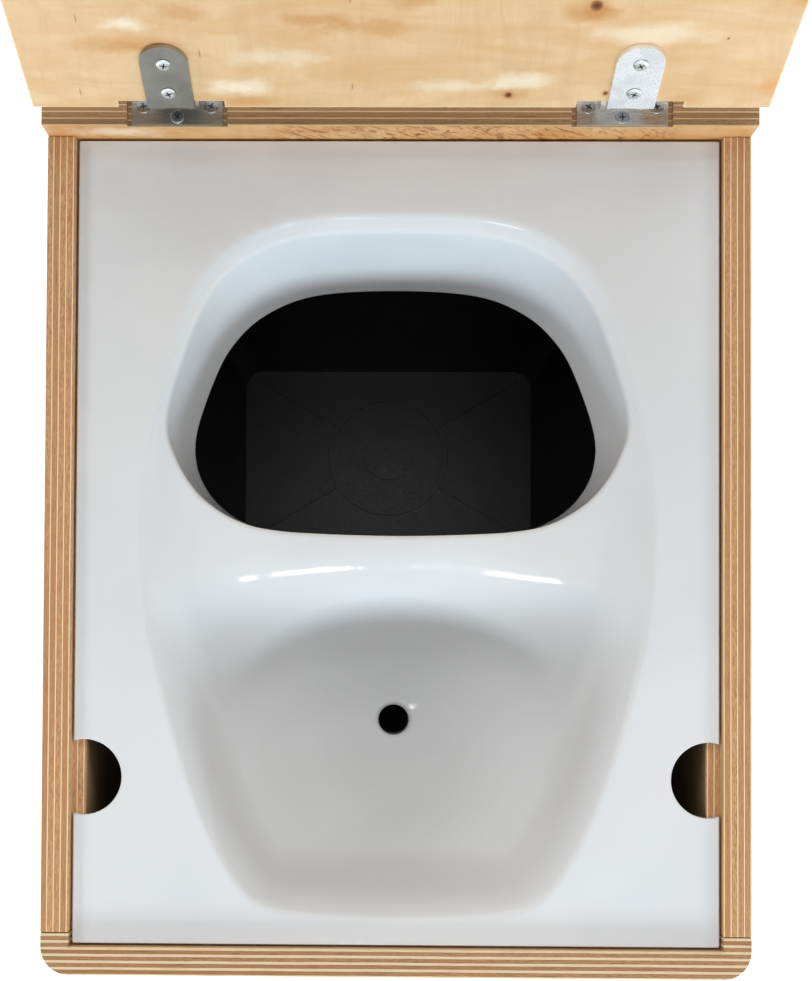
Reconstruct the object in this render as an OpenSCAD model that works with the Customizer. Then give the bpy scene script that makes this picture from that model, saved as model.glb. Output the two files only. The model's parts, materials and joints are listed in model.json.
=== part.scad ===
// Compact dry composting toilet: a plywood box round a moulded separator insert,
// with a bucket and a urine canister inside and a lid on two cranked strap hinges.
// Origin: centre of the box's underside, which the feet hold off the floor. +X right, +Y rear, +Z up.
// The lid is drawn open, as it rests on its stops.

/* [Insert] */
// Width of the bowl's outline at its widest
bowl_w = 223; // [205:1:245]
// Length of the bowl's outline, front to rear
bowl_l = 300; // [280:1:330]
// Flat rim beside the bowl
side_rim = 25.5; // [23:0.5:40]
// Flat rim in front of the bowl
front_rim = 10.5; // [8:0.5:30]
// Flat rim behind the bowl
rear_rim = 32.5; // [25:0.5:60]
// Thickness of the flat rim
plate_t = 3.5; // [3:0.1:5]
// Corner radius of the insert's plate
plate_r = 0.8; // [0.4:0.1:4]
// Wall thickness of the moulded bowl
shell_t = 3; // [2:0.1:3.4]
// Depth of the basin's low point below the rim
basin_depth = 59; // [45:1:70]
// Drop from the rim to the lip between basin and chute
lip_drop = 15; // [8:1:22]
// Depth of the chute's lower edge below the rim
chute_depth = 52; // [40:1:65]
// Radius of the drain hole
drain_r = 7; // [5:0.5:9]
// Wall of the drain spout
spout_wall = 3; // [2:0.5:4]
// Length of the spout below the basin
spout_l = 18; // [12:1:25]
// Radius of the finger notches in the side rims
notch_r = 16; // [13:0.5:18]
// Distance of a notch's centre in from the plate's edge
notch_in = 4.4; // [2:0.1:6]
// Distance of the notches behind the plate's front edge
notch_y = 70.5; // [55:0.5:120]

/* [Box] */
// Height of the box to the top edges of its side boards, without the feet
box_h = 322; // [290:1:400]
// Thickness of the four upright boards
board_t = 18; // [15:0.5:24]
// Thickness of the upright lip that stands round the insert
lip_t = 12; // [8:0.5:13]
// Clearance round the insert's plate
plate_gap = 1; // [0.5:0.1:2]
// Depth of the rebate that carries the insert
rebate_depth = 6.5; // [5:0.1:9]
// Rise of the rear board above the side boards
rear_rise = 13; // [12.8:0.1:16]
// Radius of the front board's upright corners
corner_r = 12; // [4:1:14]
// Thickness of the base board
base_t = 12; // [10:1:18]
// Radius of the joint dowels
dowel_r = 4; // [3:0.5:5]
// Length of the joint dowels
dowel_l = 36; // [30:1:44]
// Depth of a dowel's hole in the front and rear boards
dowel_bite = 12; // [8:0.5:13]
// Dowels in each upright corner
dowels_per_corner = 4; // [2:1:6]

/* [Feet] */
// Height of the rubber feet
foot_h = 8; // [6:1:20]
// Radius of the rubber feet
foot_r = 13; // [10:1:18]
// Distance of a foot's centre in from the box's edges
foot_in = 34; // [30:1:50]

/* [Lid] */
// Thickness of the lid board
lid_t = 12; // [9:0.5:12.5]
// Clearance between the closed lid and the side boards
lid_lift = 0.3; // [0.2:0.1:1]
// Clearance between the lid and the rear board
lid_gap = 1; // [0.6:0.1:2]
// Reach of the closed lid past the front of the box
lid_reach = 10; // [0:1:20]
// Radius of the lid's front corners
lid_r = 12; // [2:1:20]
// Opening angle of the lid
lid_open = 110; // [95:1:125]

/* [Hinges] */
// Distance of each hinge's middle in from the box's side
hinge_in = 57; // [40:1:90]
// Sheet thickness of the hinge
hinge_t = 2; // [1.5:0.1:2.2]
// Width of the T-shaped lower leaf
leaf_w = 38; // [36:1:46]
// Depth of the lower leaf
leaf_d = 17; // [16:0.5:17.4]
// Depth of the mortise under the leaf
mortise_depth = 2.5; // [2.2:0.1:3.5]
// Clearance at each end of the leaf in its mortise
mortise_gap = 2; // [0.5:0.5:3]
// Outer radius of the barrel
barrel_r = 3; // [2.7:0.1:3.3]
// Radius of the hinge pin
pin_r = 1.5; // [1:0.1:1.6]
// Running clearance round the pin
pin_fit = 0.05; // [0.02:0.01:0.1]
// Distance of the pin behind the rear board's inner face
pin_back = 10.2; // [9.8:0.1:11]
// Width of the lid strap
strap_w = 19; // [17:0.5:22]
// Length of the strap under the lid
strap_l = 36; // [32:1:60]
// Clearance between neighbouring knuckles
knuckle_gap = 0.2; // [0.1:0.05:0.4]
// Depth of the notch in the lid for the strap's crank
crank_depth = 3.5; // [2.8:0.1:6]
// Width of the notch in the lid
crank_w = 43; // [24:1:50]
// Spacing of the strap's screws
strap_pitch = 16; // [12:1:20]

/* [Screws] */
// Shank radius of the hinge screws
screw_r = 1.5; // [1.2:0.1:1.6]
// Head radius of the hinge screws
head_r = 3; // [2.6:0.1:3.2]
// Length of the screws in the rear board
leaf_screw_l = 16; // [10:1:30]
// Length of the screws in the lid
strap_screw_l = 10; // [7:0.5:10]
// Shank radius of the base and foot screws
base_screw_r = 2; // [1.5:0.1:2.5]
// From the inside corners to the outer screws of a side
side_screw_in = 50; // [30:5:80]
// From the outside corners to the screws of the front and rear
end_screw_in = 70; // [40:5:100]
// Length of the base screws
base_screw_l = 40; // [30:1:60]
// Length of the foot screws
foot_screw_l = 14; // [10:1:15]

/* [Bucket] */
// Reach of the bucket past each side of the chute
bucket_side_lap = 19; // [10:1:22]
// Reach of the bucket in front of the chute
bucket_front_lap = 3; // [2:1:6]
// Reach of the bucket behind the chute
bucket_rear_lap = 31; // [15:1:32]
// Gap between the chute and the bucket's rim
bucket_gap = 5; // [3:1:15]
// Draft of the bucket's walls, top to bottom on each side
bucket_draft = 19; // [5:1:25]
// Wall thickness of the bucket
bucket_wall = 2.5; // [2:0.1:4]
// Corner radius of the bucket
bucket_r = 14; // [8:1:30]
// Width of the bucket's rim bead
bead = 3; // [2:0.5:4]
// Outer radius of the ring moulded in the bucket's floor
ring_r = 37.5; // [25:0.5:40]
// Height of the ring and ribs in the floor
rib_h = 1.2; // [0.6:0.1:3]
// Height of the rim bead
bead_h = 4; // [3:1:8]
// Reach of the bail's ears past the rim
ear_out = 5; // [4:1:7]
// Radius of the bail's ears
ear_r = 7; // [5:1:9]
// Radius of the bail's wire
bail_r = 2; // [1.5:0.1:3]
// Clearance round the bail's ends in the bucket's ears
bail_fit = 0.1; // [0.05:0.05:0.3]
// Reach of the bail past the bucket's rear edge
bail_reach = 9; // [9:0.5:10]
// Bend radius of the bail's corners
bail_bend = 16; // [10:1:25]
// Radius of the bail's grip
grip_r = 7.5; // [5:0.5:8]
// Length of the bail's grip
grip_l = 90; // [70:1:110]

/* [Canister] */
// Clearance between the canister and what stands round it
canister_gap = 6; // [3:1:12]
// Wall thickness of the canister
canister_wall = 2.5; // [2:0.1:4]
// Corner radius of the canister
canister_r = 18; // [8:1:25]
// Height of the canister's sloping shoulder
shoulder_h = 19; // [12:1:26]
// How far the shoulder draws in
shoulder_in = 10; // [5:1:14]
// Chamfer round the canister's foot
foot_bevel = 4; // [2:1:6]
// Radius of the neck's bore
neck_r = 20; // [16:0.5:24]
// Wall of the neck
neck_wall = 3; // [2:0.5:4]
// Height of the neck
neck_h = 25; // [15:1:30]
// How far the spout dips into the neck
neck_lap = 5; // [2:1:10]
// Width of the carrying handle
handle_w = 112; // [90:1:150]
// Height of the carrying handle
handle_h = 34; // [26:1:38]
// Thickness of the handle's bar
handle_t = 8; // [5:1:10]

/* [Hidden] */
$fn = 48;
over = 1; // how far cutting tools run past a face

// ---- Plan of the insert and the box that is built round it
plate_w = bowl_w + 2 * side_rim;
plate_l = bowl_l + front_rim + rear_rim;
recess_w = plate_w + 2 * plate_gap;
recess_l = plate_l + 2 * plate_gap;
box_w = recess_w + 2 * lip_t;
box_d = lip_t + recess_l + board_t;
front_y = -box_d / 2;
rear_y = box_d / 2;
front_in = front_y + board_t;
rear_in = rear_y - board_t;
side_in = box_w / 2 - board_t;
plate_y0 = front_y + lip_t + plate_gap;
plate_y1 = plate_y0 + plate_l;
bowl_y0 = plate_y0 + front_rim;

// ---- Heights
inside_z = base_t;
rear_top = box_h + rear_rise;
ledge_z = box_h - rebate_depth;
plate_top = ledge_z + plate_t;
chute_z = plate_top - chute_depth;
basin_z = plate_top - basin_depth;
spout_z = basin_z - shell_t - spout_l;

// ---- Hinge line and the lid's closed place
leaf_z = rear_top - mortise_depth;
hinge_x = box_w / 2 - hinge_in;
pin_y = rear_in + pin_back;
pin_z = leaf_z + barrel_r;
lid_z = box_h + lid_lift;
lid_y1 = rear_in - lid_gap;
lid_l = lid_y1 - front_y + lid_reach;
barrel_l = strap_w;
knuckle_w = barrel_l / 2 - knuckle_gap;
strap_back = lid_y1 - crank_depth + 1 + hinge_t;
leaf_y0 = rear_in + 0.5;

// ---- Bowl: three closed curves in percent of half the width and of the length,
// from the middle of the rear, clockwise, to the middle of the front.
// The rim is the outline in the plate.
rim_half = [[0, 100], [39.5, 99.2], [63, 95.5], [77.5, 89.6], [87, 80.6], [94, 69.6],
    [99.3, 58], [98.4, 45], [90.3, 31.2], [80, 18.9], [68, 8.9], [54, 2.4], [34, 0.6], [0, 0]];
// The lip is the chute's upper edge: close inside the rim at the rear, and a crease
// that falls across the bowl to the wall between chute and basin at the front.
lip_half = [[0, 98.2], [38.1, 97.3], [60.1, 93.9], [73.8, 88.3], [83, 79.9], [89, 71],
    [85.2, 65.2], [77.6, 60.8], [68.2, 58], [57.4, 56.2], [44.8, 55.4], [31.4, 55.1],
    [17, 54.9], [0, 54.8]];
// The mouth is the chute's lower edge.
mouth_half = [[0, 93.5], [33.2, 92.7], [53.8, 89.7], [67.3, 85], [75.3, 79.3], [82.1, 71.5],
    [82.1, 66.5], [77.6, 62.5], [69.5, 59.3], [58.3, 57], [44.8, 55.8], [31.4, 55.2],
    [17, 55], [0, 55]];
steps = 3; // points drawn between neighbouring curve points
basin_rings = [0, 0.02, 0.05, 0.09, 0.14, 0.24, 0.36, 0.48, 0.58, 0.66, 0.73, 0.79, 0.84, 0.89, 0.94, 1];
wall_rings = [0.1, 0.4, 0.7, 1];
rim_fall = 2; // how far the rear lip lies below the rim
ridge_ring = 9; // the ring where the ridge between basin and chute begins
rim_run = 22; // from the rim to the foot of the steep wall inside it
rim_turn = 0.14; // share of that run which is rounded over
crest_y = -8; // where the ridge begins to fall forward
crest_bend = 0.0016; // how fast that line bends forward, sideways
crest_fall = 21;
crest_run = 100;
crest_turn = 0.08;
pan_y = -86; // middle of the round pan sunk into the basin
pan_x = 86; // its reach sideways, rearward and forward
pan_rear = 64;
pan_front = 84;
pan_turn = 0.15;

function mirrored(half) = concat(half, [for (k = [len(half) - 2:-1:1]) [-half[k][0], half[k][1]]]);
function spot(pt) = [pt[0] / 100 * bowl_w / 2, bowl_y0 + pt[1] / 100 * bowl_l];
function spline(p0, p1, p2, p3, t) = 0.5 * (2 * p1 + (p2 - p0) * t
    + (2 * p0 - 5 * p1 + 4 * p2 - p3) * t * t + (3 * p1 - p0 - 3 * p2 + p3) * t * t * t);
function loop(half) = let (pts = mirrored(half), n = len(pts))
    [for (k = [0:n - 1]) for (j = [0:steps - 1])
        spot(spline(pts[(k + n - 1) % n], pts[k], pts[(k + 1) % n], pts[(k + 2) % n], j / steps))];

rim = loop(rim_half);
lip = loop(lip_half);
mouth = loop(mouth_half);
count = len(rim);
front_i = count / 2;
span = [for (i = [0:count - 1]) norm(lip[i] - rim[i])];
// Share of the full basin length that each section across the bowl has
share = [for (s = span) s / span[front_i]];
lip_z = [for (s = share) plate_top - rim_fall - (lip_drop - rim_fall) * (1 - (1 - s) * (1 - s))];
mouth_front_y = mouth[front_i][1];
mouth_rear_y = mouth[0][1];
mouth_w = 2 * max([for (p = mouth) p[0]]);
drain_y = (rim[front_i][1] + lip[front_i][1]) / 2;
reach = 8; // neighbouring rim points that a section looks at

// Outward horizontal direction of a closed clockwise curve at one of its points
function outward(curve, i) = let (a = curve[(i + count - 1) % count], b = curve[(i + 1) % count],
    d = (b - a) / norm(b - a)) [-d[1], d[0]];
// From 0 at t = 0 to 1 at t = 1: rounded over up to t = turn, hollow from there on
function rise(t, turn) = t <= 0 ? 0 : t >= 1 ? 1
    : t < turn ? t * t / turn : 1 - (1 - t) * (1 - t) / (1 - turn);
function gap(p, a, b) = let (d = b - a, t = (p - a) * d / (d * d)) norm(p - a - d * min(max(t, 0), 1));
// Distance from a point of section i to the rim
function rim_gap(i, p) = min([for (k = [i - reach:i + reach])
    gap(p, rim[(k + count) % count], rim[(k + 1 + count) % count])]);
// Depth of the basin under the plate, away from its walls
function hollow(i, p) = let (
    base = plate_top - lip_z[i]
        + crest_fall * rise((crest_y - crest_bend * p[0] * p[0] - p[1]) / crest_run, crest_turn),
    pan = rise(1 - norm([p[0] / pan_x, (p[1] - pan_y) / (p[1] > pan_y ? pan_rear : pan_front)]), pan_turn))
    base + (basin_depth - base) * pan;
function basin_point(i, s) = let (p = rim[i] + (lip[i] - rim[i]) * s,
    wall = rise(rim_gap(i, p) / min(rim_run, rim_gap(i, lip[i])), rim_turn))
    [p[0], p[1], plate_top - hollow(i, p) * wall];
function basin_normal(i, s) = let (
    along = basin_point((i + 1) % count, s) - basin_point((i + count - 1) % count, s),
    across = basin_point(i, min(s + 0.01, 1)) - basin_point(i, max(s - 0.01, 0)),
    n = cross(along, across)) n / norm(n) * sign(n[2]);
function wall_point(i, w) = let (p = lip[i] + (mouth[i] - lip[i]) * w)
    [p[0], p[1], lip_z[i] + (chute_z - lip_z[i]) * w];
function basin_under(i, s) = let (p = basin_point(i, s), n = basin_normal(i, s), d = outward(lip, i),
    near = pow(s, 1 + 5 * share[i]), fade = min(s * span[i] / 4, 1) * (1 - near))
    [p[0] + shell_t * (d[0] * near - n[0] * fade), p[1] + shell_t * (d[1] * near - n[1] * fade),
        p[2] - shell_t * (1 - fade * (1 - n[2]))];
function wall_under(i, w) = let (p = wall_point(i, w), d = outward(lip, i))
    [p[0] + d[0] * shell_t, p[1] + d[1] * shell_t, p[2] - shell_t * (1 - w)];
lip_ring = len(basin_rings) - 1;
last_ring = lip_ring + len(wall_rings);
function upper_ring(r) = [for (i = [0:count - 1])
    r <= lip_ring ? basin_point(i, basin_rings[r]) : wall_point(i, wall_rings[r - lip_ring - 1])];
function lower_ring(r) = [for (i = [0:count - 1])
    r <= lip_ring ? basin_under(i, basin_rings[r]) : wall_under(i, wall_rings[r - lip_ring - 1])];

// ---- Bucket and canister places
bucket_w = mouth_w + 2 * bucket_side_lap;
bucket_y0 = mouth_front_y - bucket_front_lap;
bucket_y1 = mouth_rear_y + bucket_rear_lap;
bucket_d = bucket_y1 - bucket_y0;
bucket_y = (bucket_y0 + bucket_y1) / 2;
bucket_top = chute_z - bucket_gap;
bucket_h = bucket_top - inside_z;
ear_z = bucket_top - ear_r;
bail_half = bucket_w / 2 + ear_out + 1 + bail_r;
bail_arm = bucket_d / 2 + bail_reach;
canister_y0 = front_in + canister_gap;
canister_y1 = bucket_y0 - canister_gap;
canister_d = canister_y1 - canister_y0;
canister_y = (canister_y0 + canister_y1) / 2;
canister_w = 2 * (side_in - 2 * canister_gap);
neck_top = spout_z + neck_lap;
canister_top = neck_top - neck_h;
canister_h = canister_top - inside_z;
handle_y = canister_y1 - canister_r - handle_t;

wood = [0.84, 0.68, 0.45];
wood_edge = [0.72, 0.54, 0.34];
white = [0.87, 0.89, 0.92];
steel = [0.7, 0.71, 0.73];
black = [0.09, 0.09, 0.1];

// ---- Shared shapes
module rounded(w, d, r) {
    for (x = [-1, 1]) for (y = [-1, 1])
        translate([x * (w / 2 - r), y * (d / 2 - r)]) circle(r);
    square([w - 2 * r, d], center = true);
    square([w, d - 2 * r], center = true);
}

// A plan whose two front corners are round, from front y0 to rear y1
module round_front(w, y0, y1, r) {
    translate([-w / 2, y0 + r]) square([w, y1 - y0 - r]);
    translate([-w / 2 + r, y0]) square([w - 2 * r, y1 - y0]);
    intersection() {
        for (s = [-1, 1]) translate([s * (w / 2 - r), y0 + r]) circle(r);
        translate([-w / 2, y0]) square([w, y1 - y0]);
    }
}

// Countersunk screw with its head's face at z = 0 and its point down
module screw(r, head, length) {
    difference() {
        union() {
            translate([0, 0, -length]) cylinder(r = r, h = length);
            translate([0, 0, -(head - r)]) cylinder(r1 = r, r2 = head, h = head - r);
        }
        for (a = [0, 90]) rotate([0, 0, a])
            translate([-head * 0.6, -head * 0.13, -head * 0.35]) cube([head * 1.2, head * 0.26, head]);
    }
}

// The hole that the screw sits in
module screw_hole(r, head, length) {
    translate([0, 0, -length]) cylinder(r = r, h = length + over);
    translate([0, 0, -(head - r)]) cylinder(r1 = r, r2 = head, h = head - r);
}

// Turns what is drawn with the lid closed to the lid's open place
module opened() {
    translate([0, pin_y, pin_z]) rotate([-lid_open, 0, 0]) translate([0, -pin_y, -pin_z]) children();
}

// ---- Box
corner = min(corner_r, board_t);
dowel_x = box_w / 2 - board_t / 2;
dowel_zs = [for (k = [0:dowels_per_corner - 1])
    inside_z + (ledge_z - inside_z) * (k + 0.5) / dowels_per_corner];
side_screw_y = (rear_in - front_in) / 2 - side_screw_in;
end_screw_x = box_w / 2 - end_screw_in;
base_head_r = 2 * base_screw_r;

module dowels_at(face_y, dir) {
    for (x = [-dowel_x, dowel_x]) for (z = dowel_zs)
        translate([x, face_y - dir * dowel_bite, z]) rotate([-90 * dir, 0, 0])
            cylinder(r = dowel_r, h = dowel_l);
}

module base_screw_places() {
    for (x = [-dowel_x, dowel_x]) for (k = [-1, 0, 1])
        translate([x, k * side_screw_y, 0]) rotate([180, 0, 0]) children();
    for (x = [-1, 1]) for (y = [front_y + board_t / 2, rear_y - board_t / 2])
        translate([x * end_screw_x, y, 0]) rotate([180, 0, 0]) children();
}

module base_holes() {
    base_screw_places() screw_hole(base_screw_r, base_head_r, base_screw_l);
}

module front_board() {
    color(wood_edge) difference() {
        translate([0, 0, inside_z]) linear_extrude(box_h - inside_z)
            round_front(box_w, front_y, front_in, corner);
        translate([-recess_w / 2, front_y + lip_t, ledge_z]) cube([recess_w, board_t, board_t]);
        dowels_at(front_in, 1);
        base_holes();
    }
}

module rear_board() {
    color(wood) difference() {
        translate([-box_w / 2, rear_in, inside_z]) cube([box_w, board_t, rear_top - inside_z]);
        for (s = [-1, 1])
            translate([s * hinge_x - leaf_w / 2 - mortise_gap, rear_in - over, leaf_z])
                cube([leaf_w + 2 * mortise_gap, board_t + 2 * over, board_t]);
        dowels_at(rear_in, -1);
        base_holes();
        for (s = [-1, 1]) leaf_screw_places(s) screw_hole(screw_r, screw_r, leaf_screw_l);
    }
}

module side_board(s) {
    color(wood_edge) difference() {
        translate([s > 0 ? side_in : -box_w / 2, front_in, inside_z])
            cube([board_t, rear_in - front_in, box_h - inside_z]);
        translate([s > 0 ? side_in - over : -recess_w / 2, front_in - over, ledge_z])
            cube([recess_w / 2 - side_in + over, rear_in - front_in + 2 * over, board_t]);
        dowels_at(front_in, 1);
        dowels_at(rear_in, -1);
        base_holes();
    }
}

module base_board() {
    color(wood) difference() {
        linear_extrude(base_t) round_front(box_w, front_y, rear_y, corner);
        base_holes();
        foot_places() foot_screw_hole();
    }
}

module base_screws() {
    color(steel) base_screw_places() screw(base_screw_r, base_head_r, base_screw_l);
}

// ---- Feet
foot_screw_z = -foot_h * 0.55; // a screw head's face, up inside the foot

module foot_at(x, y) {
    translate([x * (box_w / 2 - foot_in), y * (box_d / 2 - foot_in), 0]) children();
}

module foot_places() {
    for (x = [-1, 1]) for (y = [-1, 1]) foot_at(x, y) children();
}

module foot_screw_hole() {
    translate([0, 0, foot_screw_z]) rotate([180, 0, 0])
        screw_hole(base_screw_r, base_head_r, foot_screw_l);
}

module foot(x, y) {
    color(black) foot_at(x, y) difference() {
        translate([0, 0, -foot_h]) cylinder(r1 = foot_r - 1, r2 = foot_r, h = foot_h);
        foot_screw_hole();
        translate([0, 0, -foot_h - over])
            cylinder(r = base_head_r + 0.5, h = foot_h + foot_screw_z + over);
    }
}

module foot_screws() {
    color(steel) foot_places() translate([0, 0, foot_screw_z]) rotate([180, 0, 0])
        screw(base_screw_r, base_head_r, foot_screw_l);
}

// ---- Lid
module lid_board() {
    color(wood) opened() difference() {
        translate([0, 0, lid_z]) linear_extrude(lid_t)
            round_front(box_w, lid_y1 - lid_l, lid_y1, lid_r);
        for (s = [-1, 1])
            translate([s * hinge_x - crank_w / 2, lid_y1 - crank_depth, lid_z - over])
                cube([crank_w, crank_depth + over, lid_t + 2 * over]);
        for (s = [-1, 1]) strap_screw_places(s) screw_hole(screw_r, screw_r, strap_screw_l);
    }
}

// ---- Hinges
leaf_screw_x = leaf_w / 2 - head_r - 1.8;
front_screw_y = leaf_y0 + head_r + 0.2;
side_screw_y0 = leaf_y0 + leaf_d / 2 - 1;
strap_end_y = strap_back - strap_l;

module leaf_screw_places(s) {
    z = leaf_z + hinge_t;
    translate([s * hinge_x, front_screw_y, z]) children();
    for (k = [-1, 1]) translate([s * hinge_x + k * leaf_screw_x, side_screw_y0, z]) children();
}

module strap_screw_places(s) {
    first = strap_end_y + strap_w / 2;
    for (y = [first, first + strap_pitch])
        translate([s * hinge_x, y, lid_z - hinge_t]) rotate([180, 0, 0]) children();
}

module hinge_leaf(s) {
    color(steel) difference() {
        union() {
            difference() {
                translate([s * hinge_x - leaf_w / 2, leaf_y0, leaf_z]) cube([leaf_w, leaf_d, hinge_t]);
                translate([s * hinge_x - barrel_l / 2, pin_y, leaf_z - over])
                    cube([barrel_l, leaf_d, hinge_t + 2 * over]);
            }
            translate([s * hinge_x - barrel_l / 2, pin_y, pin_z]) rotate([0, 90, 0])
                cylinder(r = barrel_r, h = barrel_l);
        }
        translate([s * hinge_x - knuckle_w / 2 - knuckle_gap, pin_y - barrel_r - knuckle_gap, leaf_z - over])
            cube([knuckle_w + 2 * knuckle_gap, leaf_d, 2 * barrel_r + 2 * over]);
        translate([s * hinge_x - barrel_l, pin_y, pin_z]) rotate([0, 90, 0])
            cylinder(r = pin_r, h = 2 * barrel_l);
        leaf_screw_places(s) screw_hole(screw_r, head_r, leaf_screw_l);
    }
}

module hinge_pin(s) {
    color(steel) translate([s * hinge_x - barrel_l / 2, pin_y, pin_z]) rotate([0, 90, 0])
        cylinder(r = pin_r, h = barrel_l);
}

module leaf_screws(s) {
    color(steel) leaf_screw_places(s) screw(screw_r, head_r, leaf_screw_l);
}

// Side view of the strap: over the board from the barrel, down the lid's notch, under the lid
module strap_profile(y_end) {
    over_top = pin_z + barrel_r;
    bottom = lid_z - hinge_t;
    bend = hinge_t * 1.2;
    difference() {
        union() {
            translate([strap_back - hinge_t + bend, over_top - hinge_t])
                square([y_end - strap_back + hinge_t - bend, hinge_t]);
            translate([strap_back - hinge_t, bottom + bend])
                square([hinge_t, over_top - bottom - 2 * bend]);
            translate([strap_end_y, bottom]) square([strap_back - bend - strap_end_y, hinge_t]);
            translate([strap_back - hinge_t + bend, over_top - bend]) circle(bend);
            translate([strap_back - bend, bottom + bend]) circle(bend);
        }
        // inside of the upper bend
        translate([strap_back - hinge_t + bend, over_top - bend]) circle(max(bend - hinge_t, 0.1));
        translate([strap_back - bend, bottom + bend]) circle(max(bend - hinge_t, 0.1));
        translate([strap_back, over_top - 2 * bend]) square([2 * bend, 2 * bend - hinge_t]);
        translate([strap_back - hinge_t - 2 * bend, bottom + hinge_t]) square([2 * bend, 2 * bend]);
    }
}

module extrude_x(x, w) {
    translate([x - w / 2, 0, 0]) rotate([90, 0, 90]) linear_extrude(w) children();
}

module hinge_strap(s) {
    clear_y = pin_y - barrel_r - knuckle_gap;
    color(steel) opened() difference() {
        union() {
            intersection() {
                extrude_x(s * hinge_x, strap_w) strap_profile(pin_y);
                translate([s * hinge_x, 0, 0]) linear_extrude(2 * box_h) {
                    translate([0, strap_end_y + strap_w / 2]) circle(strap_w / 2);
                    translate([-strap_w / 2, strap_end_y + strap_w / 2])
                        square([strap_w, clear_y - strap_end_y - strap_w / 2]);
                    translate([-knuckle_w / 2, clear_y - over]) square([knuckle_w, pin_y - clear_y + over]);
                }
            }
            translate([s * hinge_x - knuckle_w / 2, pin_y, pin_z]) rotate([0, 90, 0])
                cylinder(r = barrel_r, h = knuckle_w);
        }
        translate([s * hinge_x - barrel_l, pin_y, pin_z]) rotate([0, 90, 0])
            cylinder(r = pin_r + pin_fit, h = 2 * barrel_l);
        strap_screw_places(s) screw_hole(screw_r, head_r, strap_screw_l);
    }
}

module strap_screws(s) {
    color(steel) opened() strap_screw_places(s) screw(screw_r, head_r, strap_screw_l);
}

// ---- Separator insert: plate, basin, ridge, chute and spout, moulded in one
module bowl_shell(first, last) {
    rings = last - first + 1;
    pts = [for (r = [first:last]) each upper_ring(r), for (r = [first:last]) each lower_ring(r)];
    half = rings * count;
    faces = [
        for (r = [0:rings - 2]) for (i = [0:count - 1])
            let (j = (i + 1) % count, a = r * count, b = a + count)
            each [[a + i, a + j, b + j], [a + i, b + j, b + i],
                [half + a + i, half + b + j, half + a + j], [half + a + i, half + b + i, half + b + j]],
        for (i = [0:count - 1]) let (j = (i + 1) % count, b = (rings - 1) * count)
            each [[i, half + j, j], [i, half + i, half + j],
                [b + i, b + j, half + b + j], [b + i, half + b + j, half + b + i]]];
    polyhedron(pts, faces);
}

module drain_bore() {
    translate([0, drain_y, spout_z - over]) cylinder(r = drain_r, h = spout_l + 2 * shell_t + 4 * over);
}

module insert_plate() {
    color(white) translate([0, 0, plate_top - plate_t]) linear_extrude(plate_t) difference() {
        translate([0, (plate_y0 + plate_y1) / 2]) rounded(plate_w, plate_l, plate_r);
        polygon(rim);
        for (s = [-1, 1])
            translate([s * (plate_w / 2 - notch_in), plate_y0 + notch_y]) circle(notch_r);
    }
}

// The front slope, floor and drain of the bowl
module insert_basin() {
    color(white) difference() {
        bowl_shell(0, ridge_ring);
        drain_bore();
    }
}

// The rise behind the floor, up to the lip
module insert_ridge() {
    color(white) bowl_shell(ridge_ring, lip_ring);
}

module insert_chute() {
    color(white) bowl_shell(lip_ring, last_ring);
}

module drain_spout() {
    color(white) difference() {
        translate([0, drain_y, spout_z]) cylinder(r = drain_r + spout_wall, h = basin_z - 0.5 - spout_z);
        drain_bore();
        bowl_shell(0, ridge_ring);
    }
}

// ---- Bucket
module bucket_block(inset, z0, z1) {
    hull() {
        translate([0, bucket_y, z0]) linear_extrude(0.1)
            rounded(bucket_w - 2 * bucket_draft - 2 * inset, bucket_d - 2 * bucket_draft - 2 * inset,
                bucket_r - inset, $fn = 32);
        translate([0, bucket_y, z1 - 0.1]) linear_extrude(0.1)
            rounded(bucket_w - 2 * bead - 2 * inset, bucket_d - 2 * bead - 2 * inset,
                bucket_r - inset, $fn = 32);
    }
}

module bucket() {
    inner_w = bucket_w - 2 * bead - 2 * bucket_wall;
    inner_d = bucket_d - 2 * bead - 2 * bucket_wall;
    floor_w = bucket_w - 2 * bucket_draft - 2 * bucket_wall;
    floor_d = bucket_d - 2 * bucket_draft - 2 * bucket_wall;
    floor_z = inside_z + bucket_wall;
    corner_a = atan2(floor_d, floor_w);
    rib_l = norm([floor_w, floor_d]) / 2 - bucket_r * 0.6;
    color(black) difference() {
        union() {
            difference() {
                bucket_block(0, inside_z, bucket_top);
                bucket_block(bucket_wall, floor_z, bucket_top + 1);
            }
            translate([0, bucket_y, bucket_top - bead_h]) linear_extrude(bead_h) difference() {
                rounded(bucket_w, bucket_d, bucket_r);
                rounded(inner_w, inner_d, bucket_r - bucket_wall);
            }
            // moulded ring, gate and ribs on the floor
            translate([0, bucket_y, floor_z - 0.5]) {
                difference() {
                    cylinder(r = ring_r, h = rib_h + 0.5);
                    translate([0, 0, 0.5]) cylinder(r = ring_r - 3, h = rib_h + over);
                }
                cylinder(r = ring_r * 0.4, h = rib_h * 0.7 + 0.5);
                for (a = [corner_a, 180 - corner_a, 180 + corner_a, -corner_a]) rotate([0, 0, a])
                    translate([ring_r - 1, -1, 0]) cube([rib_l - ring_r, 2, rib_h + 0.5]);
            }
            // ears that carry the bail
            for (s = [-1, 1])
                translate([s * (bucket_w / 2 + ear_out / 2 - 1), bucket_y, ear_z]) rotate([0, 90, 0])
                    cylinder(r = ear_r, h = ear_out + 2, center = true);
        }
        for (s = [-1, 1])
            translate([s * (bucket_w / 2 + ear_out), bucket_y, ear_z]) rotate([0, 90, 0])
                cylinder(r = bail_r + bail_fit, h = 2 * (ear_out + 0.5), center = true);
    }
}

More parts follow.
